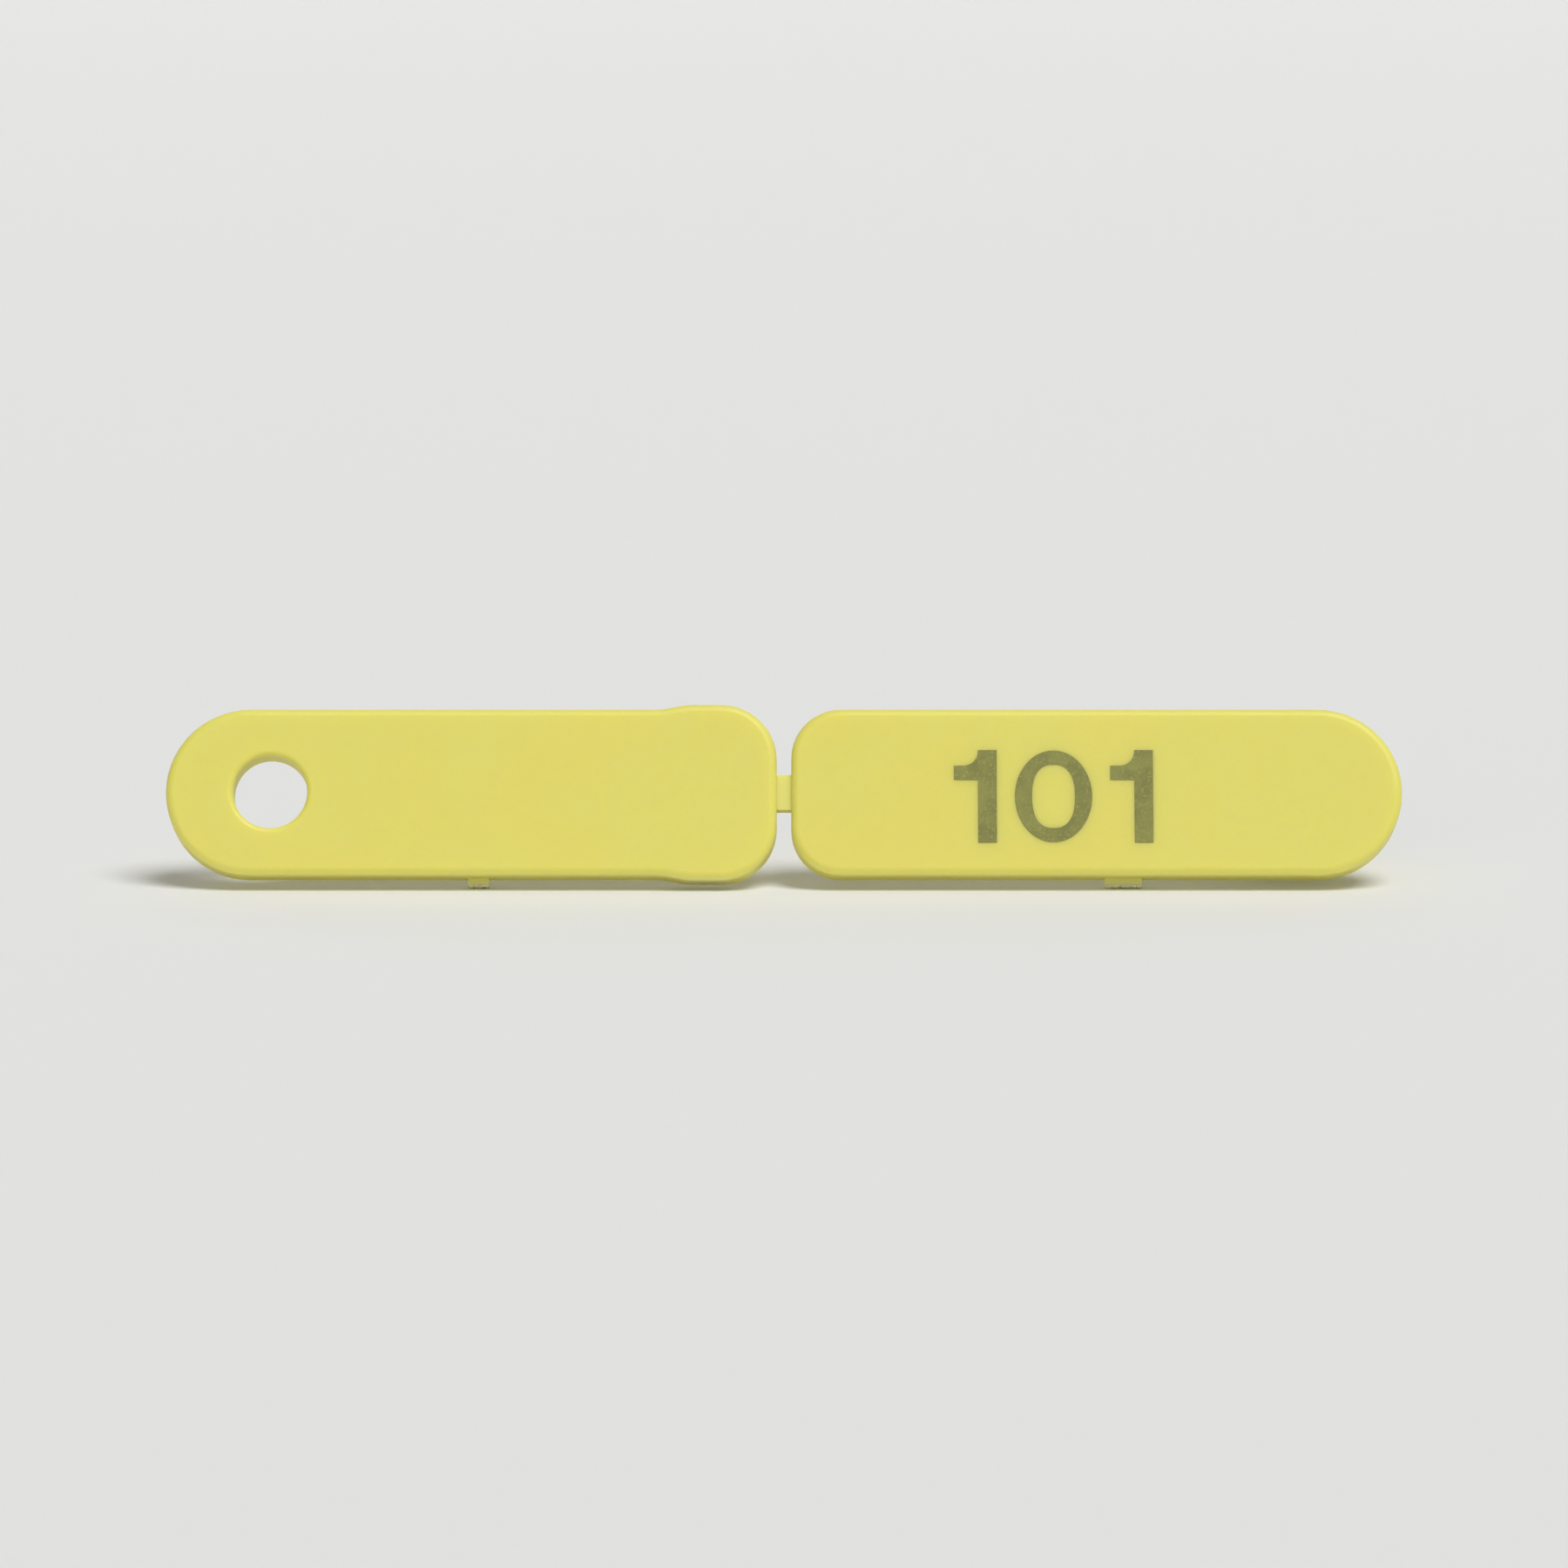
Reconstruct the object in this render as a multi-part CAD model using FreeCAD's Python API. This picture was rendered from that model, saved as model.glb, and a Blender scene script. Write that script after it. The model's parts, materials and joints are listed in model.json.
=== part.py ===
import FreeCAD, Part
import math
import os

# A small two-part ear tag for sheep and goats, as it comes off its strip.
# The hole leaf and the pin leaf are one moulding, joined by a break-off tie.
#
# The tag is drawn in the frame of its mould and then stood up as it rests.
# Mould frame: X along both leaves, Y across them, Z out of the numbered face.
# The flat back, where the two halves of the mould part, lies in the plane Z = 0.
# Its edges are sharp, as a parting plane leaves them; all the others are rounded.

# --- driving dimensions, in millimetres ---
LEAF_LENGTH = 38.0
LEAF_WIDTH = 10.5
THICKNESS = 2.2
GAP = 0.9                 # between the two leaves
HOLE_LEAF_CORNER = 3.5    # corner radius where the leaves face each other
PIN_LEAF_CORNER = 3.1
FACE_ROUND = 0.5          # rounding of the numbered face's edge

FLARE = 0.3               # how much wider, on each side, the hole leaf's inner end is
FLARE_FLAT = 5.2          # length of that wider stretch, from the inner end
FLARE_BLEND = 2.4         # length over which it runs back to the leaf's width

HOLE_RADIUS = 2.3
HOLE_FROM_END = 6.5
HOLE_ROUND = 0.35         # rounding of its rim in the numbered face

TIE_WIDTH = 2.2
TIE_THICKNESS = 1.0
TIE_DEPTH = 0.5           # below the numbered face
TIE_BITE = 0.8            # how far it runs into each leaf

STUB_LENGTH = 0.45        # left where the next tag of the strip was broken off
STUB_THICKNESS = 0.8
STUB_BITE = 0.6
STUBS = ((-19.0, 1.3), (21.1, 2.3))   # place along X and width of each

PIN_FROM_END = 5.7
STEM_RADIUS = 2.05
STEM_LENGTH = 7.8         # from the back to the barb's shoulder
ROOT_ROUND = 0.9
PIN_BITE = 0.8
HEAD_RADIUS = 2.65
SHOULDER_ROUND = 0.2      # hollow corner under the barb
RIM_ROUND = 0.15
LAND_LENGTH = 0.6         # straight stretch of the barb
TIP_HALF_ANGLE = 28.0     # degrees
NOSE_RADIUS = 0.35

# --- worked out from them ---
HALF_WIDTH = LEAF_WIDTH / 2
OUTER_X = GAP / 2 + LEAF_LENGTH
HOLE_X = -(OUTER_X - HOLE_FROM_END)
PIN_X = OUTER_X - PIN_FROM_END
LAND_END = STEM_LENGTH + RIM_ROUND + LAND_LENGTH
# The tag rests on the stubs' back edges and on the end of the barb's land.
FOOT_SPREAD = HALF_WIDTH + STUB_LENGTH - HEAD_RADIUS
REST_TURN = math.degrees(math.atan2(LAND_END, FOOT_SPREAD))

X_AXIS = FreeCAD.Vector(1, 0, 0)
Z_AXIS = FreeCAD.Vector(0, 0, 1)
ORIGIN = FreeCAD.Vector(0, 0, 0)
SAME = 1e-6


def line(a, b):
    return Part.LineSegment(FreeCAD.Vector(*a), FreeCAD.Vector(*b)).toShape()


def arc(centre, radius, start, end):
    """An arc in the XY plane between two angles in degrees."""
    angles = (start, (start + end) / 2, end)
    points = [
        FreeCAD.Vector(
            centre[0] + radius * math.cos(math.radians(a)),
            centre[1] + radius * math.sin(math.radians(a)),
            0,
        )
        for a in angles
    ]
    return Part.Arc(*points).toShape()


def upper_side(corner, flare):
    """The upper half of a leaf's outline, from its outer end to its inner one."""
    wide = HALF_WIDTH + flare
    corner_x = GAP / 2 + corner
    end_x = OUTER_X - HALF_WIDTH
    edges = [arc((end_x, 0), HALF_WIDTH, 0, 90)]
    straight_to = corner_x
    if flare:
        # Two equal arcs, the first hollow and the second round, make the step.
        flat_x = GAP / 2 + FLARE_FLAT
        straight_to = flat_x + FLARE_BLEND
        radius = (FLARE_BLEND**2 + flare**2) / (4 * flare)
        sweep = math.degrees(math.asin(FLARE_BLEND / 2 / radius))
        edges.append(line((end_x, HALF_WIDTH, 0), (straight_to, HALF_WIDTH, 0)))
        edges.append(arc((straight_to, HALF_WIDTH + radius), radius, 270, 270 - sweep))
        edges.append(arc((flat_x, wide - radius), radius, 90 - sweep, 90))
        edges.append(line((flat_x, wide, 0), (corner_x, wide, 0)))
    else:
        edges.append(line((end_x, HALF_WIDTH, 0), (straight_to, HALF_WIDTH, 0)))
    edges.append(arc((corner_x, wide - corner), corner, 90, 180))
    edges.append(line((GAP / 2, wide - corner, 0), (GAP / 2, 0, 0)))
    return edges


def edges_at(shape, z):
    """The edges that lie wholly in the plane at this height."""
    return [
        e
        for e in shape.Edges
        if abs(e.BoundBox.ZMin - z) < SAME and abs(e.BoundBox.ZMax - z) < SAME
    ]


def leaf(corner, flare=0.0):
    """A leaf with its outer end at +X, rounded along the edge of its numbered face."""
    upper = Part.Wire(Part.__sortEdges__(upper_side(corner, flare)))
    lower = upper.mirror(ORIGIN, FreeCAD.Vector(0, 1, 0))
    outline = Part.Wire(Part.__sortEdges__(upper.Edges + lower.Edges))
    slab = Part.Face(outline).extrude(Z_AXIS * THICKNESS)
    return slab.makeFillet(FACE_ROUND, edges_at(slab, THICKNESS))


def hole_leaf():
    """The leaf that the pin snaps into, with a rounded rim in its numbered face."""
    plate = leaf(HOLE_LEAF_CORNER, FLARE).mirror(ORIGIN, X_AXIS)
    tool = Part.makeCylinder(HOLE_RADIUS, 2 * THICKNESS)
    tool.translate(FreeCAD.Vector(HOLE_X, 0, -THICKNESS / 2))
    plate = plate.cut(tool)
    rim = [
        e
        for e in edges_at(plate, THICKNESS)
        if isinstance(e.Curve, Part.Circle) and abs(e.Curve.Radius - HOLE_RADIUS) < SAME
    ]
    return plate.makeFillet(HOLE_ROUND, rim)


def pin_profile():
    """Half of the pin's section, in the XY plane, with the tip towards -Y."""
    shoulder = -STEM_LENGTH
    root = STEM_RADIUS + ROOT_ROUND
    slope = math.radians(TIP_HALF_ANGLE)
    nose_run = (HEAD_RADIUS * math.cos(slope) - NOSE_RADIUS) / math.sin(slope)
    nose_y = -LAND_END - nose_run
    cone_end = (NOSE_RADIUS * math.cos(slope), nose_y - NOSE_RADIUS * math.sin(slope), 0)
    return [
        line((0, PIN_BITE, 0), (root, PIN_BITE, 0)),
        line((root, PIN_BITE, 0), (root, 0, 0)),
        arc((root, -ROOT_ROUND), ROOT_ROUND, 90, 180),
        line((STEM_RADIUS, -ROOT_ROUND, 0), (STEM_RADIUS, shoulder + SHOULDER_ROUND, 0)),
        arc((STEM_RADIUS + SHOULDER_ROUND, shoulder + SHOULDER_ROUND), SHOULDER_ROUND, 180, 270),
        line((STEM_RADIUS + SHOULDER_ROUND, shoulder, 0), (HEAD_RADIUS - RIM_ROUND, shoulder, 0)),
        arc((HEAD_RADIUS - RIM_ROUND, shoulder - RIM_ROUND), RIM_ROUND, 90, 0),
        line((HEAD_RADIUS, shoulder - RIM_ROUND, 0), (HEAD_RADIUS, -LAND_END, 0)),
        line((HEAD_RADIUS, -LAND_END, 0), cone_end),
        arc((0, nose_y), NOSE_RADIUS, -TIP_HALF_ANGLE, -90),
        line((0, nose_y - NOSE_RADIUS, 0), (0, PIN_BITE, 0)),
    ]


def pin():
    """The barbed pin, turned about its axis, standing out of the pin leaf's back."""
    section = Part.Face(Part.Wire(Part.__sortEdges__(pin_profile())))
    turned = section.revolve(ORIGIN, FreeCAD.Vector(0, 1, 0), 360)
    turned.rotate(ORIGIN, X_AXIS, 90)
    turned.translate(FreeCAD.Vector(PIN_X, 0, 0))
    return turned


def tie():
    """The short web between the leaves."""
    length = GAP + 2 * TIE_BITE
    web = Part.makeBox(length, TIE_WIDTH, TIE_THICKNESS)
    top = THICKNESS - TIE_DEPTH
    web.translate(FreeCAD.Vector(-length / 2, -TIE_WIDTH / 2, top - TIE_THICKNESS))
    return web


def stub(x, width):
    """What is left of a nib that held this tag to the next one of the strip."""
    nib = Part.makeBox(width, STUB_LENGTH + STUB_BITE, STUB_THICKNESS)
    nib.translate(FreeCAD.Vector(x - width / 2, -HALF_WIDTH - STUB_LENGTH, 0))
    return nib


def stand(shape):
    """Turns the tag to its rest, with the numbered face towards -Y and a little up."""
    shape.rotate(ORIGIN, X_AXIS, REST_TURN)
    box = shape.optimalBoundingBox(False, False)
    shape.translate(FreeCAD.Vector(0, -(box.YMin + box.YMax) / 2, -box.ZMin))
    return shape


def ear_tag():
    pieces = [leaf(PIN_LEAF_CORNER), tie(), pin()] + [stub(x, width) for x, width in STUBS]
    return stand(hole_leaf().fuse(pieces).removeSplitter().Solids[0])


tag = ear_tag()
tag.exportStep("parts/ear_tag.step")
box = tag.optimalBoundingBox(False, False)
print("valid", tag.isValid(), "solids", len(tag.Solids), "faces", len(tag.Faces))
print("volume mm3", round(tag.Volume, 1), "lean back deg", round(90 - REST_TURN, 2))
print("x", box.XMin, box.XMax, "y", box.YMin, box.YMax, "z", box.ZMin, box.ZMax)
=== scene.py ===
# %% [markdown]
# # A livestock ear tag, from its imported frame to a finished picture
#
# This small tag for sheep and goats is one moulding in soft yellow
# polyurethane. The leaf on the left has a hole, and the leaf on the right
# carries a number and, on its back, a barbed pin. A short tie joins them.
#
# The exact shape comes from a CAD program, so it isn't modelled again here.
# This lesson gives it what CAD leaves out: a finish, the number, the torn
# nibs and the marks that the mould leaves on the back.

# %% Load the exact model
import json
import math

import bmesh
import bpy
from mathutils import Euler, Matrix, Vector


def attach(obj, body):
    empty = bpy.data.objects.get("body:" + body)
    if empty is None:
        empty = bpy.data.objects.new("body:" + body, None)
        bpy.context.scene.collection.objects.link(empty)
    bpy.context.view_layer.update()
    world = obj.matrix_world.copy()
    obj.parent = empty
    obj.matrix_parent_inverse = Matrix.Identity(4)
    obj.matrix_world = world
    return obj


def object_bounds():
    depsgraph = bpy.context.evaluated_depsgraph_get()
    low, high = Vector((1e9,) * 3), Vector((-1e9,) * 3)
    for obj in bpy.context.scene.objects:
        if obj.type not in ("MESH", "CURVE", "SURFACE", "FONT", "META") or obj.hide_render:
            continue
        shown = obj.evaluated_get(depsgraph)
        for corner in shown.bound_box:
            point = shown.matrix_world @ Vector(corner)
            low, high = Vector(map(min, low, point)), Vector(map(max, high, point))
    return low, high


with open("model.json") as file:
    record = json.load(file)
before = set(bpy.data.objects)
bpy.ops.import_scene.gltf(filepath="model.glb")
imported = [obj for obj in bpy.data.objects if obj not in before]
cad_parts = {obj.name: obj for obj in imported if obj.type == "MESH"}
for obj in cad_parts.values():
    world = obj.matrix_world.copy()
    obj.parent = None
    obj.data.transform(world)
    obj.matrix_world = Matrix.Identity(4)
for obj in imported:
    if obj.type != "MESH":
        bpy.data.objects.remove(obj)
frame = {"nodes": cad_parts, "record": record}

cad_low, cad_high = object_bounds()
print("CAD box", [round(v, 5) for v in cad_low], [round(v, 5) for v in cad_high])

# %% [markdown]
# ## The tag's own axes
#
# The tag leans back on its pin, so nothing on it is level. Working straight
# on a sloping face is hard. It is easier to model each detail on a level
# drawing board and to lay the finished detail on the tag in one move.
#
# The board has X along the leaves, Y across them and Z out of the numbered
# face, with Z = 0 on the flat back. The record says where the back lies and
# which way it faces, and that is enough to find the move.

# %% Find the move from the drawing board to the tag
MM = 0.001
THICKNESS = 2.2 * MM

mounts = {m["name"]: m for m in frame["record"]["mounts"]}
back_point = Vector(mounts["ear_face_of_pin_leaf"]["pos_m"])
face_out = -Vector(mounts["ear_face_of_pin_leaf"]["axis"]).normalized()

lean = math.atan2(-face_out.y, face_out.z)
origin = Vector((0, back_point.y, back_point.z))
to_tag = Matrix.Translation(origin) @ Matrix.Rotation(lean, 4, "X")
print("turn from level", round(math.degrees(lean), 2), "degrees")

# %% [markdown]
# ## The camera
#
# A long lens from about half a metre keeps the two leaves nearly parallel.
# The camera stands a little above the floor. The face leans back further
# than that, so the lens looks at it slightly from below and catches the
# narrow lower wall of each leaf.

# %% Place the camera
CAMERA_DISTANCE = 0.55
CAMERA_ELEVATION = math.radians(8.4)
FRAME_FILL = 0.78
SENSOR = 36

centre = (cad_low + cad_high) / 2
tag_length = cad_high.x - cad_low.x
towards_camera = Vector((0, -math.cos(CAMERA_ELEVATION), math.sin(CAMERA_ELEVATION)))

camera_data = bpy.data.cameras.new("camera")
camera_data.sensor_width = SENSOR
camera_data.lens = SENSOR * CAMERA_DISTANCE * FRAME_FILL / tag_length
camera = bpy.data.objects.new("camera", camera_data)
bpy.context.scene.collection.objects.link(camera)
camera.location = centre + towards_camera * CAMERA_DISTANCE
camera.rotation_euler = (-towards_camera).to_track_quat("-Z", "Y").to_euler()
bpy.context.scene.camera = camera
print("lens", round(camera_data.lens, 1), "mm")

# %% [markdown]
# ## Helpers for materials
#
# Every finish here is a small graph of nodes. These helpers keep the graphs
# readable: they start a material, add a node with its settings, mix two
# colours, and give the place of a point in the tag's own axes.

# %% Make the material helpers
def start_material(name):
    """A new material with its shader, and its nodes and links to build on."""
    material = bpy.data.materials.new(name)
    material.use_nodes = True
    tree = material.node_tree
    return material, tree.nodes["Principled BSDF"], tree


def add_node(tree, kind, inputs=None, **settings):
    """A node of this kind. Inputs are plain values or sockets to link from."""
    node = tree.nodes.new(kind)
    for key, value in settings.items():
        setattr(node, key, value)
    for key, value in (inputs or {}).items():
        if isinstance(value, bpy.types.NodeSocket):
            tree.links.new(value, node.inputs[key])
        else:
            node.inputs[key].default_value = value
    return node


def mix_colours(tree, factor, first, second, blend="MIX"):
    """The colour between two others: 0 gives the first and 1 the second."""
    FACTOR, FIRST, SECOND, RESULT = 0, 6, 7, 2
    mix = add_node(
        tree,
        "ShaderNodeMix",
        {FACTOR: factor, FIRST: first, SECOND: second},
        data_type="RGBA",
        blend_type=blend,
    )
    return mix.outputs[RESULT]


def ramp(tree, value, start, end, low=0.0, high=1.0):
    """Turns value smoothly from low to high as it goes from start to end."""
    node = add_node(
        tree,
        "ShaderNodeMapRange",
        {"Value": value, "From Min": start, "From Max": end, "To Min": low, "To Max": high},
        interpolation_type="SMOOTHSTEP",
    )
    return node.outputs["Result"]


def tag_axes(tree):
    """The socket that gives each point's place on the drawing board, in metres."""
    place = add_node(tree, "ShaderNodeTexCoord")
    board = add_node(
        tree,
        "ShaderNodeMapping",
        {"Vector": place.outputs["Object"], "Location": origin, "Rotation": Euler((lean, 0, 0))},
        vector_type="TEXTURE",
    )
    return board.outputs["Vector"]


print("material helpers ready")

# %% [markdown]
# ## The floor, the room and the lamps
#
# A product picture wants a pale, empty room. The floor is one large plane
# whose far end sweeps up, so that no horizon line crosses the picture.
#
# A pale floor also throws light up, which keeps the shaded lower walls of
# the leaves yellow instead of grey.

# %% Build the floor
FLOOR_SIZE = 5.0
SWEEP_HEIGHT = 2.2
SWEEP_RADIUS = 0.8


def deselect_all():
    for thing in bpy.context.selected_objects:
        thing.select_set(False)


def select_in_edit_mode(piece, edges=None, faces=None, verts=None):
    """Selects only what passes its test, in edit mode."""
    mesh = bmesh.from_edit_mesh(piece.data)
    for group in (mesh.faces, mesh.edges, mesh.verts):
        for element in group:
            element.select = False
    chosen = []
    for group, test in ((mesh.faces, faces), (mesh.edges, edges), (mesh.verts, verts)):
        if test:
            chosen += [element for element in group if test(element)]
    for element in chosen:
        element.select_set(True)
    bmesh.update_edit_mesh(piece.data)


deselect_all()
bpy.ops.mesh.primitive_plane_add(size=FLOOR_SIZE, location=(0, 0, 0))
floor = bpy.context.object
floor.name = "floor"
bpy.ops.object.mode_set(mode="EDIT")
bpy.ops.mesh.select_mode(type="EDGE")
far = FLOOR_SIZE / 2 - MM
select_in_edit_mode(floor, edges=lambda e: all(v.co.y > far for v in e.verts))
bpy.ops.mesh.extrude_region_move(TRANSFORM_OT_translate={"value": (0, 0, SWEEP_HEIGHT)})
select_in_edit_mode(floor, edges=lambda e: all(v.co.y > far and v.co.z < MM for v in e.verts))
bpy.ops.mesh.bevel(offset=SWEEP_RADIUS, segments=24, affect="EDGES")
bpy.ops.object.mode_set(mode="OBJECT")
bpy.ops.object.shade_smooth()
print("floor", len(floor.data.polygons), "faces")

# %% Paint the floor
FLOOR_PALE = (0.84, 0.84, 0.83, 1)

floor_paint, floor_shader, tree = start_material("floor_paint")
floor_shader.inputs["Base Color"].default_value = FLOOR_PALE
floor_shader.inputs["Roughness"].default_value = 0.9
floor_shader.inputs["Specular IOR Level"].default_value = 0.1
floor.data.materials.append(floor_paint)
print("floor colour", FLOOR_PALE[:3])

# %% [markdown]
# The main light comes from above and a little in front, as from a ceiling.
# It draws a bright line along each leaf's upper edge and leaves the lower
# wall in shade. A weaker light beside the camera fills the faces evenly.
#
# Both are sun lamps with a wide disc. Their shadows are as soft as a large
# studio lamp's, and the light is the same all over, so the floor has no
# bright pool and no dark far end. The room glows a little from all sides.

# %% Light the room
ROOM_GLOW = 0.24


def hang_lamp(name, place, disc_degrees, share):
    """A lamp shining from place to the tag; a share of 1 lights a facing card as written."""
    data = bpy.data.lights.new(name, "SUN")
    data.angle = math.radians(disc_degrees)
    data.energy = share * math.pi
    lamp = bpy.data.objects.new(name, data)
    bpy.context.scene.collection.objects.link(lamp)
    lamp.location = place
    lamp.rotation_euler = Vector(place).to_track_quat("Z", "Y").to_euler()
    return lamp


hang_lamp("ceiling_lamp", (0.32, -0.40, 0.90), disc_degrees=32, share=0.67)
hang_lamp("front_lamp", (-0.20, -0.95, 0.05), disc_degrees=50, share=0.25)

room = bpy.data.worlds.new("room")
room.use_nodes = True
room.node_tree.nodes["Background"].inputs["Color"].default_value = (1, 1, 1, 1)
room.node_tree.nodes["Background"].inputs["Strength"].default_value = ROOM_GLOW
bpy.context.scene.world = room
bpy.context.scene.view_settings.view_transform = "Standard"

# %% [markdown]
# ## The skin of the moulding
#
# A steel mould is blasted with fine grit, and the plastic copies it. Close
# up, the skin is an even field of tiny dimples. From further off the colour
# clouds a little, because the pigment never mixes perfectly.
#
# Both effects are wanted on the tag and again on its torn nibs. So they go
# into a node group, built once, with inputs for what differs.

# %% Build the moulded skin group
CLOUD_SCALE = 160
PATCH_SCALE = 420


def build_moulded_skin():
    group = bpy.data.node_groups.new("moulded_skin", "ShaderNodeTree")
    for name, kind in (
        ("Place", "NodeSocketVector"),
        ("Colour", "NodeSocketColor"),
        ("Cloud Colour", "NodeSocketColor"),
        ("Cloudiness", "NodeSocketFloat"),
        ("Grain Size", "NodeSocketFloat"),
        ("Roughness Low", "NodeSocketFloat"),
        ("Roughness High", "NodeSocketFloat"),
    ):
        group.interface.new_socket(name=name, in_out="INPUT", socket_type=kind)
    for name, kind in (
        ("Colour", "NodeSocketColor"),
        ("Roughness", "NodeSocketFloat"),
        ("Height", "NodeSocketFloat"),
    ):
        group.interface.new_socket(name=name, in_out="OUTPUT", socket_type=kind)
    given = group.nodes.new("NodeGroupInput")
    result = group.nodes.new("NodeGroupOutput")
    place = given.outputs["Place"]

    # pigment clouds some millimetres wide
    clouds = add_node(group, "ShaderNodeTexNoise", {"Vector": place, "Scale": CLOUD_SCALE, "Detail": 3})
    cloud = ramp(group, clouds.outputs["Fac"], 0.35, 0.68)
    share = add_node(
        group, "ShaderNodeMath", {0: cloud, 1: given.outputs["Cloudiness"]}, operation="MULTIPLY"
    )
    colour = mix_colours(
        group, share.outputs[0], given.outputs["Colour"], given.outputs["Cloud Colour"]
    )
    group.links.new(colour, result.inputs["Colour"])

    # dimples of the blasted mould
    count = add_node(
        group, "ShaderNodeMath", {0: 1.0, 1: given.outputs["Grain Size"]}, operation="DIVIDE"
    )
    grain = add_node(
        group,
        "ShaderNodeTexNoise",
        {"Vector": place, "Scale": count.outputs[0], "Detail": 2, "Roughness": 0.6},
    )
    group.links.new(grain.outputs["Fac"], result.inputs["Height"])

    # rubbed and dull patches
    patches = add_node(
        group, "ShaderNodeTexNoise", {"Vector": place, "Scale": PATCH_SCALE, "Detail": 4}
    )
    rough = add_node(
        group,
        "ShaderNodeMapRange",
        {
            "Value": patches.outputs["Fac"],
            "From Min": 0.3,
            "From Max": 0.7,
            "To Min": given.outputs["Roughness Low"],
            "To Max": given.outputs["Roughness High"],
        },
    )
    group.links.new(rough.outputs["Result"], result.inputs["Roughness"])
    return group


moulded_skin = build_moulded_skin()
print("group", moulded_skin.name, "with", len(moulded_skin.nodes), "nodes")

# %% [markdown]
# ## The yellow plastic
#
# Soft polyurethane lets light in for about a millimetre and out again
# nearby. Blue is lost on the way, so shaded and thin places turn a deeper
# yellow. Subsurface scattering does that: its three radii say how far red,
# green and blue travel.
#
# The rounded front edge of each leaf, and the edge of its hole, carry a
# painted highlight: that band is mixed towards a paler yellow. The band is
# found by height above the back, which the drawing board's Z gives at once.
# The two nibs are stretched and paler where they broke off the next tag,
# which the board's Y finds.

# %% Mix the yellow plastic
FACE_YELLOW = (0.745, 0.700, 0.150, 1)
CLOUD_YELLOW = (0.765, 0.685, 0.135, 1)
# painted highlight: the paler yellow that is mixed into the rounded front edges
EDGE_HIGHLIGHT_YELLOW = (0.76, 0.73, 0.23, 1)
TORN_YELLOW = (0.80, 0.78, 0.40, 1)
NIB_TEAR = -5.70 * MM
NIB_STRETCH = 0.3 * MM
CLOUDINESS = 0.6
RIM_STARTS = THICKNESS - 0.02 * MM
RIM_FULL = THICKNESS - 0.3 * MM
RIM_FADES = THICKNESS - 0.5 * MM
RIM_ENDS = THICKNESS - 0.9 * MM


def yellow_plastic(name, face, cloud, highlight_share, grain_size, grain_depth, low, high, glow):
    """The plastic, with glow as the share of light that scatters below the skin; the edge share sets how
    strongly its rounded front edges get a painted highlight.
    """
    material, shader, tree = start_material(name)
    place = tag_axes(tree)
    skin = add_node(tree, "ShaderNodeGroup", node_tree=moulded_skin)
    tree.links.new(place, skin.inputs["Place"])
    for socket, value in (
        ("Colour", face),
        ("Cloud Colour", cloud),
        ("Cloudiness", CLOUDINESS),
        ("Grain Size", grain_size),
        ("Roughness Low", low),
        ("Roughness High", high),
    ):
        skin.inputs[socket].default_value = value

    axes = add_node(tree, "ShaderNodeSeparateXYZ", {"Vector": place})
    height = axes.outputs["Z"]
    # painted highlight: a band from the rounded front edges down the upper wall turns paler
    below_face = ramp(tree, height, RIM_STARTS, RIM_FULL)
    above_wall = ramp(tree, height, RIM_ENDS, RIM_FADES, 0, highlight_share)
    edge_highlight = add_node(tree, "ShaderNodeMath", {0: below_face, 1: above_wall}, operation="MULTIPLY")
    colour = mix_colours(tree, edge_highlight.outputs[0], skin.outputs["Colour"], EDGE_HIGHLIGHT_YELLOW)
    stretched = ramp(tree, axes.outputs["Y"], NIB_TEAR + NIB_STRETCH, NIB_TEAR)
    colour = mix_colours(tree, stretched, colour, TORN_YELLOW)
    tree.links.new(colour, shader.inputs["Base Color"])
    tree.links.new(skin.outputs["Roughness"], shader.inputs["Roughness"])

    dimples = add_node(
        tree,
        "ShaderNodeBump",
        {"Height": skin.outputs["Height"], "Distance": grain_depth, "Strength": 0.6},
    )
    tree.links.new(dimples.outputs["Normal"], shader.inputs["Normal"])
    shader.inputs["Subsurface Weight"].default_value = glow
    shader.inputs["Subsurface Radius"].default_value = (1.0, 0.85, 0.15)
    shader.inputs["Subsurface Scale"].default_value = 1.3 * MM
    shader.inputs["IOR"].default_value = 1.5
    return material


tag_plastic = yellow_plastic(
    "tag_plastic",
    FACE_YELLOW,
    CLOUD_YELLOW,
    # strength of the painted highlight on the rounded front edges
    highlight_share=0.5,
    grain_size=0.12 * MM,
    grain_depth=0.012 * MM,
    low=0.40,
    high=0.52,
    glow=0.7,
)
ear_tag = frame["nodes"]["ear_tag"]
for material_slot in ear_tag.material_slots:
    material_slot.material = tag_plastic
print("ear_tag has", [s.material.name for s in ear_tag.material_slots])

# %% [markdown]
# ## The number
#
# The number is a mark on the face, a few hundredths of a millimetre high.
# Text objects would be quick, but their fonts have the wrong figures: here
# the 1 has a short flat flag with a hollow curve, and the 0 is a wide oval.
# So each figure is drawn flat and given its height at the end.
#
# The 1 begins as a plane, the stem. Two cuts mark the flag's height on it,
# and the edge between the cuts is pulled out to the left. Melting the parts
# into one face leaves a clean inner corner, and rounding that corner gives
# the hollow curve.

# %% Draw the figure 1
FIGURE_HEIGHT = 5.86 * MM
STEM_WIDTH = 1.16 * MM
FLAG_REACH = 1.50 * MM
FLAG_BOTTOM = 3.97 * MM
FLAG_TOP = 4.87 * MM
FLAG_CURVE = 0.92 * MM
TINY = 0.001 * MM


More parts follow.
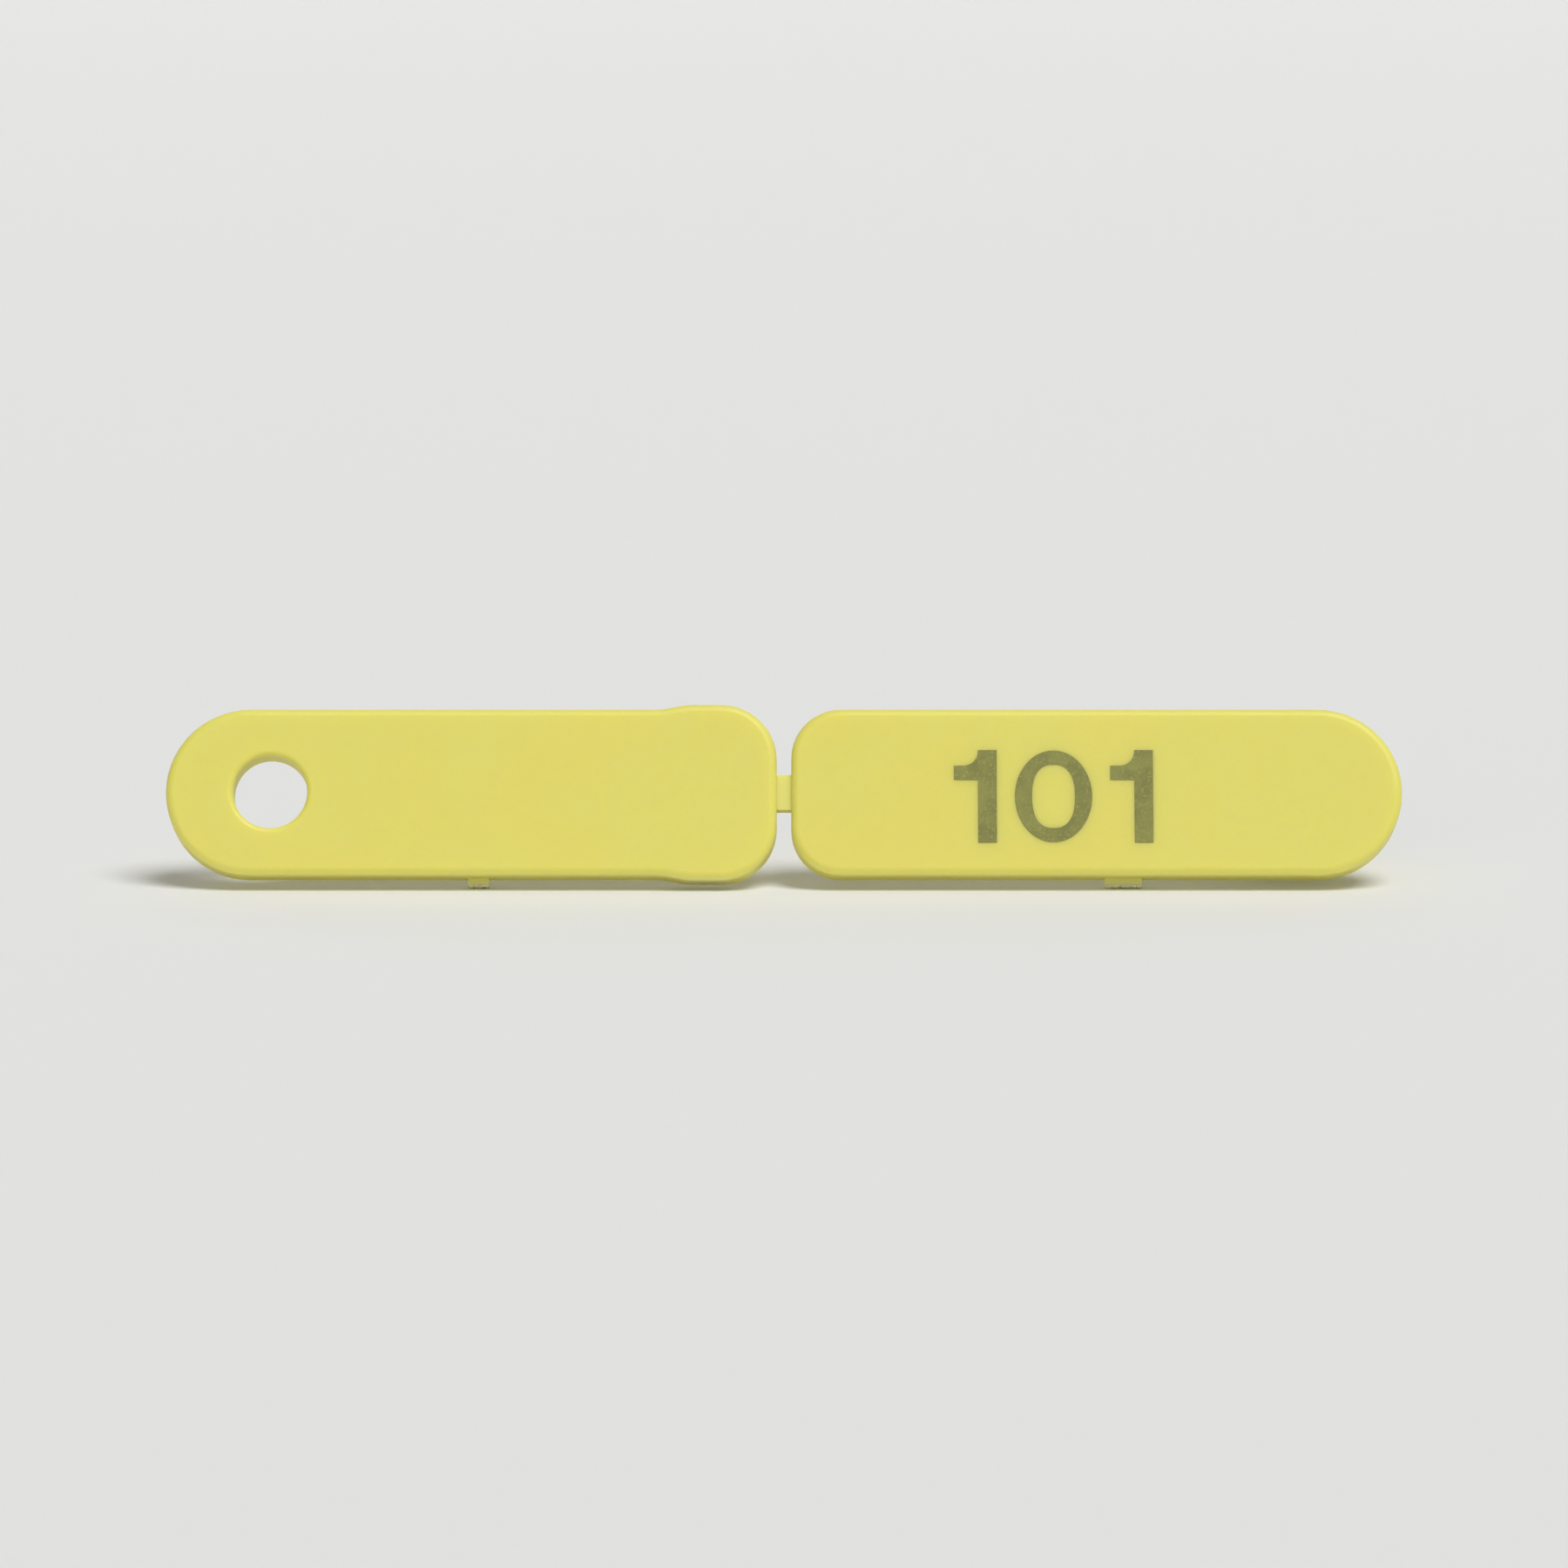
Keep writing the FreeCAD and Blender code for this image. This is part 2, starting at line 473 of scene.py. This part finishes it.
def new_flat_piece(name):
    """Names the new primitive and opens it for editing."""
    piece = bpy.context.object
    piece.name = name
    piece.data.name = name
    bpy.ops.object.mode_set(mode="EDIT")
    return piece


def cut_across(piece, height):
    bpy.ops.mesh.select_all(action="SELECT")
    bpy.ops.mesh.bisect(plane_co=(0, height, 0), plane_no=(0, 1, 0), threshold=TINY)


def draw_one(left):
    """The figure 1, flat on the board, with its flag's tip at X = left."""
    deselect_all()
    stem_left = left + FLAG_REACH
    middle = (stem_left + STEM_WIDTH / 2, FIGURE_HEIGHT / 2, 0)
    bpy.ops.mesh.primitive_plane_add(size=1, location=middle)
    one = new_flat_piece("figure_1")
    bpy.ops.mesh.select_mode(type="EDGE")
    bpy.ops.transform.resize(value=(STEM_WIDTH, FIGURE_HEIGHT, 1), center_override=middle)
    bpy.ops.object.mode_set(mode="OBJECT")
    bpy.ops.object.transform_apply()
    bpy.ops.object.mode_set(mode="EDIT")
    cut_across(one, FLAG_BOTTOM)
    cut_across(one, FLAG_TOP)

    def in_flag(edge):
        heights = sorted(v.co.y for v in edge.verts)
        on_left = all(abs(v.co.x - stem_left) < TINY for v in edge.verts)
        return on_left and heights[0] > FLAG_BOTTOM - TINY and heights[1] < FLAG_TOP + TINY

    select_in_edit_mode(one, edges=in_flag)
    bpy.ops.mesh.extrude_region_move(TRANSFORM_OT_translate={"value": (-FLAG_REACH, 0, 0)})
    bpy.ops.mesh.select_all(action="SELECT")
    bpy.ops.mesh.dissolve_limited(angle_limit=0.01)

    bpy.ops.mesh.select_mode(type="VERT")
    corner = Vector((stem_left, FLAG_TOP, 0))
    select_in_edit_mode(one, verts=lambda v: (v.co - corner).length < TINY)
    bpy.ops.mesh.bevel(
        offset=FLAG_CURVE, offset_type="OFFSET", segments=10, profile=0.5, affect="VERTICES"
    )
    bpy.ops.object.mode_set(mode="OBJECT")
    return one


NUMBER_MIDDLE = Vector((16.75 * MM, -0.35 * MM, 0))
FIGURE_GAP = 1.13 * MM
ZERO_WIDTH = 4.8 * MM
ONE_WIDTH = FLAG_REACH + STEM_WIDTH

number_width = 2 * ONE_WIDTH + 2 * FIGURE_GAP + ZERO_WIDTH
number_left = NUMBER_MIDDLE.x - number_width / 2
first_one = draw_one(number_left)
print("figure 1 has", len(first_one.data.vertices), "corners; number", round(number_width / MM, 2), "mm wide")

# %% [markdown]
# The 0 begins as a circle of edges, squeezed to the oval's outer size. The
# edges are then extruded and drawn in to the inner size, which leaves a flat
# ring of four-sided faces. The sides come out thicker than the top, as the
# figure needs. Its hole is a little squarer than an oval, so each inner
# corner moves outwards where the ring runs aslant.

# %% Draw the figure 0
ZERO_HEIGHT = 5.80 * MM
ZERO_HOLE_WIDTH = 2.66 * MM
ZERO_HOLE_HEIGHT = 4.02 * MM
OVAL_STEPS = 72
SQUARENESS = 2.45


def square_the_hole(piece, middle):
    """Moves the selected corners from an oval to a squarer one of the same size."""
    mesh = bmesh.from_edit_mesh(piece.data)
    for corner in [v for v in mesh.verts if v.select]:
        across = (corner.co.x - middle[0]) / (ZERO_HOLE_WIDTH / 2)
        along = (corner.co.y - middle[1]) / (ZERO_HOLE_HEIGHT / 2)
        reach = (abs(across) ** SQUARENESS + abs(along) ** SQUARENESS) ** (1 / SQUARENESS)
        corner.co.x = middle[0] + (corner.co.x - middle[0]) / reach
        corner.co.y = middle[1] + (corner.co.y - middle[1]) / reach
    bmesh.update_edit_mesh(piece.data)


def draw_zero(left):
    """The figure 0, a flat oval ring on the board, with its left side at X = left."""
    deselect_all()
    middle = (left + ZERO_WIDTH / 2, FIGURE_HEIGHT / 2, 0)
    bpy.ops.mesh.primitive_circle_add(
        vertices=OVAL_STEPS, radius=0.5, fill_type="NOTHING", location=middle
    )
    zero = new_flat_piece("figure_0")
    bpy.ops.transform.resize(value=(ZERO_WIDTH, ZERO_HEIGHT, 1), center_override=middle)
    bpy.ops.object.mode_set(mode="OBJECT")
    bpy.ops.object.transform_apply()
    bpy.ops.object.mode_set(mode="EDIT")
    bpy.ops.mesh.select_all(action="SELECT")
    bpy.ops.mesh.extrude_region_move()
    squeeze = (ZERO_HOLE_WIDTH / ZERO_WIDTH, ZERO_HOLE_HEIGHT / ZERO_HEIGHT, 1)
    bpy.ops.transform.resize(value=squeeze, center_override=middle)
    square_the_hole(zero, middle)
    bpy.ops.object.mode_set(mode="OBJECT")
    return zero


zero = draw_zero(number_left + ONE_WIDTH + FIGURE_GAP)
print("figure 0 has", len(zero.data.polygons), "faces")

# %% [markdown]
# The last figure is the same 1 again, so it is a copy with its own mesh.
# Joined, the three become one flat drawing. Extruding gives it its height,
# and a very small bevel stops its rim from looking like cut paper.

# %% Join the figures and raise them
MARK_HEIGHT = 0.035 * MM
MARK_SUNK = 0.01 * MM
MARK_BEVEL = 0.012 * MM


def copy_piece(piece, name, shift):
    """A copy with its own mesh, moved by shift."""
    twin = piece.copy()
    twin.data = piece.data.copy()
    twin.name = name
    bpy.context.scene.collection.objects.link(twin)
    twin.data.transform(Matrix.Translation(shift))
    return twin


def join_pieces(pieces, name):
    deselect_all()
    for piece in pieces:
        piece.select_set(True)
    bpy.context.view_layer.objects.active = pieces[0]
    bpy.ops.object.join()
    joined = bpy.context.object
    joined.name = name
    joined.data.name = name
    return joined


def open_for_editing(piece):
    deselect_all()
    piece.select_set(True)
    bpy.context.view_layer.objects.active = piece
    bpy.ops.object.mode_set(mode="EDIT")
    bpy.ops.mesh.select_all(action="SELECT")


def apply_modifiers(piece):
    deselect_all()
    piece.select_set(True)
    bpy.context.view_layer.objects.active = piece
    for modifier in list(piece.modifiers):
        bpy.ops.object.modifier_apply(modifier=modifier.name)


def lay_on_tag(piece):
    """Moves a finished detail from the board to the tag and fixes it there."""
    piece.data.transform(piece.matrix_world)
    piece.matrix_world = Matrix.Identity(4)
    piece.data.transform(to_tag)
    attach(piece, "root")


second_one = copy_piece(first_one, "figure_1_again", (ONE_WIDTH + ZERO_WIDTH + 2 * FIGURE_GAP, 0, 0))
number = join_pieces([zero, first_one, second_one], "number_101")
open_for_editing(number)
bpy.ops.mesh.extrude_region_move(
    TRANSFORM_OT_translate={"value": (0, 0, MARK_HEIGHT + MARK_SUNK)}
)
bpy.ops.mesh.select_all(action="SELECT")
bpy.ops.mesh.normals_make_consistent(inside=False)
bpy.ops.object.mode_set(mode="OBJECT")
soften = number.modifiers.new("soften", "BEVEL")
soften.width = MARK_BEVEL
soften.segments = 2
soften.limit_method = "ANGLE"
soften.angle_limit = math.radians(60)
apply_modifiers(number)

number.data.transform(
    Matrix.Translation((0, NUMBER_MIDDLE.y - FIGURE_HEIGHT / 2, THICKNESS - MARK_SUNK))
)
lay_on_tag(number)
print("number_101 has", len(number.data.polygons), "faces")

# %% [markdown]
# ## The marking's finish
#
# The marking is a dry, grey olive, and never solid: the plastic's grain
# breaks it into fine specks, and it is thinner here and darker there. Two
# noises do this, one at the size of the specks and one at the size of a
# stroke.

# %% Mix the marking
MARK_DARK = (0.200, 0.200, 0.058, 1)
MARK_MIDDLE = (0.260, 0.262, 0.072, 1)
MARK_THIN = (0.320, 0.315, 0.088, 1)
STROKE_SCALE = 700
SPECK_SCALE = 7000


def marking():
    material, shader, tree = start_material("number_mark")
    place = tag_axes(tree)
    strokes, specks = [
        add_node(tree, "ShaderNodeTexNoise", {"Vector": place, "Scale": scale, "Detail": 2})
        for scale in (STROKE_SCALE, SPECK_SCALE)
    ]
    uneven = ramp(tree, strokes.outputs["Fac"], 0.3, 0.7)
    tone = mix_colours(tree, uneven, MARK_DARK, MARK_MIDDLE)
    worn = ramp(tree, specks.outputs["Fac"], 0.50, 0.75)
    tree.links.new(mix_colours(tree, worn, tone, MARK_THIN), shader.inputs["Base Color"])
    rough = ramp(tree, specks.outputs["Fac"], 0.3, 0.7, 0.55, 0.75)
    tree.links.new(rough, shader.inputs["Roughness"])
    bump = add_node(
        tree,
        "ShaderNodeBump",
        {"Height": specks.outputs["Fac"], "Distance": 0.01 * MM, "Strength": 0.7},
    )
    tree.links.new(bump.outputs["Normal"], shader.inputs["Normal"])
    shader.inputs["Specular IOR Level"].default_value = 0.3
    return material


number.data.materials.append(marking())
print("number marked in", [s.material.name for s in number.material_slots])

# %% [markdown]
# ## The torn nibs
#
# The tags are moulded in a ladder, joined by small nibs. A nib breaks off
# with a rough end. Each rough end starts as a fine grid, as wide as its nib.
# It gets a little thickness, and its front is shaken by small random steps
# with a fixed seed, so that it comes out the same every time. The floor cuts
# off what would reach below it.

# %% Make the rough ends
NIBS = (("torn_nib_left", -19.0 * MM, 1.3 * MM, 3), ("torn_nib_right", 21.1 * MM, 2.3 * MM, 8))
NIB_THICKNESS = 0.8 * MM
TEAR_REACH = 0.10 * MM
TEAR_SHAKE = 0.07 * MM
TEAR_SUNK = 0.02 * MM
TEAR_RIM_DROP = 0.07 * MM
TEAR_GRID = 0.1 * MM


def make_rough_end(name, along, width, seed):
    deselect_all()
    steps = (round(width / TEAR_GRID), round(NIB_THICKNESS / TEAR_GRID))
    bpy.ops.mesh.primitive_grid_add(x_subdivisions=steps[0], y_subdivisions=steps[1], size=1)
    end = new_flat_piece(name)
    bpy.ops.transform.resize(value=(width, NIB_THICKNESS, 1), center_override=(0, 0, 0))
    bpy.ops.mesh.select_all(action="SELECT")
    bpy.ops.mesh.extrude_region_move(TRANSFORM_OT_translate={"value": (0, 0, TEAR_REACH)})
    half_width, half_thickness = width / 2 - TINY, NIB_THICKNESS / 2 - TINY
    select_in_edit_mode(
        end,
        verts=lambda v: v.co.z > TEAR_REACH / 2
        and abs(v.co.x) < half_width
        and abs(v.co.y) < half_thickness,
    )
    bpy.ops.transform.vertex_random(offset=TEAR_SHAKE, uniform=1.0, normal=0.0, seed=seed)
    select_in_edit_mode(
        end,
        verts=lambda v: v.co.z > TEAR_REACH / 2
        and (abs(v.co.x) > half_width or abs(v.co.y) > half_thickness),
    )
    bpy.ops.transform.translate(value=(0, 0, -TEAR_RIM_DROP))
    bpy.ops.mesh.select_all(action="SELECT")
    bpy.ops.mesh.normals_make_consistent(inside=False)
    bpy.ops.object.mode_set(mode="OBJECT")

    turn = Matrix.Rotation(math.radians(90), 4, "X")
    place = Matrix.Translation((along, NIB_TEAR + TEAR_SUNK, NIB_THICKNESS / 2))
    end.data.transform(place @ turn)
    lay_on_tag(end)
    open_for_editing(end)
    bpy.ops.mesh.bisect(
        plane_co=(0, 0, TINY), plane_no=(0, 0, 1), clear_inner=True, use_fill=True, threshold=TINY
    )
    bpy.ops.object.mode_set(mode="OBJECT")
    return end


torn_plastic = yellow_plastic(
    "torn_plastic",
    TORN_YELLOW,
    FACE_YELLOW,
    highlight_share=0.0,
    grain_size=0.06 * MM,
    grain_depth=0.02 * MM,
    low=0.6,
    high=0.8,
    glow=0.0,
)
rough_ends = [make_rough_end(*nib) for nib in NIBS]
for end in rough_ends:
    end.data.materials.append(torn_plastic)
    print(end.name, len(end.data.polygons), "faces")

# %% [markdown]
# ## The marks on the back
#
# Pins push a moulding out of its mould, and each leaves a faint round mark
# on the back. One mark is a low disc whose top is inset and pressed in, so
# that a thin ring stands. The other three are copies. A disc this thin can't
# scatter light inside itself, so its plastic has no light below the skin.

# %% Make the ejector marks
EJECTOR_RADIUS = 1.5 * MM
EJECTOR_RISE = 0.03 * MM
EJECTOR_RING = 0.12 * MM
EJECTOR_PRESS = 0.018 * MM
EJECTOR_SUNK = 0.01 * MM
EJECTOR_PLACES = (-25 * MM, -8 * MM, 8 * MM, 22 * MM)


def make_ejector_mark(along):
    deselect_all()
    bpy.ops.mesh.primitive_cylinder_add(
        vertices=48,
        radius=EJECTOR_RADIUS,
        depth=EJECTOR_RISE + EJECTOR_SUNK,
        location=(along, 0, (EJECTOR_SUNK - EJECTOR_RISE) / 2),
    )
    mark = new_flat_piece("ejector_marks")
    bpy.ops.mesh.select_mode(type="FACE")
    select_in_edit_mode(mark, faces=lambda f: f.normal.z < -0.9)
    bpy.ops.mesh.inset(thickness=EJECTOR_RING)
    bpy.ops.transform.translate(value=(0, 0, EJECTOR_PRESS))
    bpy.ops.object.mode_set(mode="OBJECT")
    mark.data.transform(mark.matrix_world)
    mark.matrix_world = Matrix.Identity(4)
    return mark


first_mark = make_ejector_mark(EJECTOR_PLACES[0])
marks = [first_mark] + [
    copy_piece(first_mark, "ejector_mark", (along - EJECTOR_PLACES[0], 0, 0))
    for along in EJECTOR_PLACES[1:]
]
ejector_marks = join_pieces(marks, "ejector_marks")
lay_on_tag(ejector_marks)
thin_plastic = yellow_plastic(
    "thin_plastic",
    FACE_YELLOW,
    CLOUD_YELLOW,
    highlight_share=0.0,
    grain_size=0.12 * MM,
    grain_depth=0.012 * MM,
    low=0.40,
    high=0.52,
    glow=0.0,
)
ejector_marks.data.materials.append(thin_plastic)
print("ejector_marks", len(ejector_marks.data.polygons), "faces")
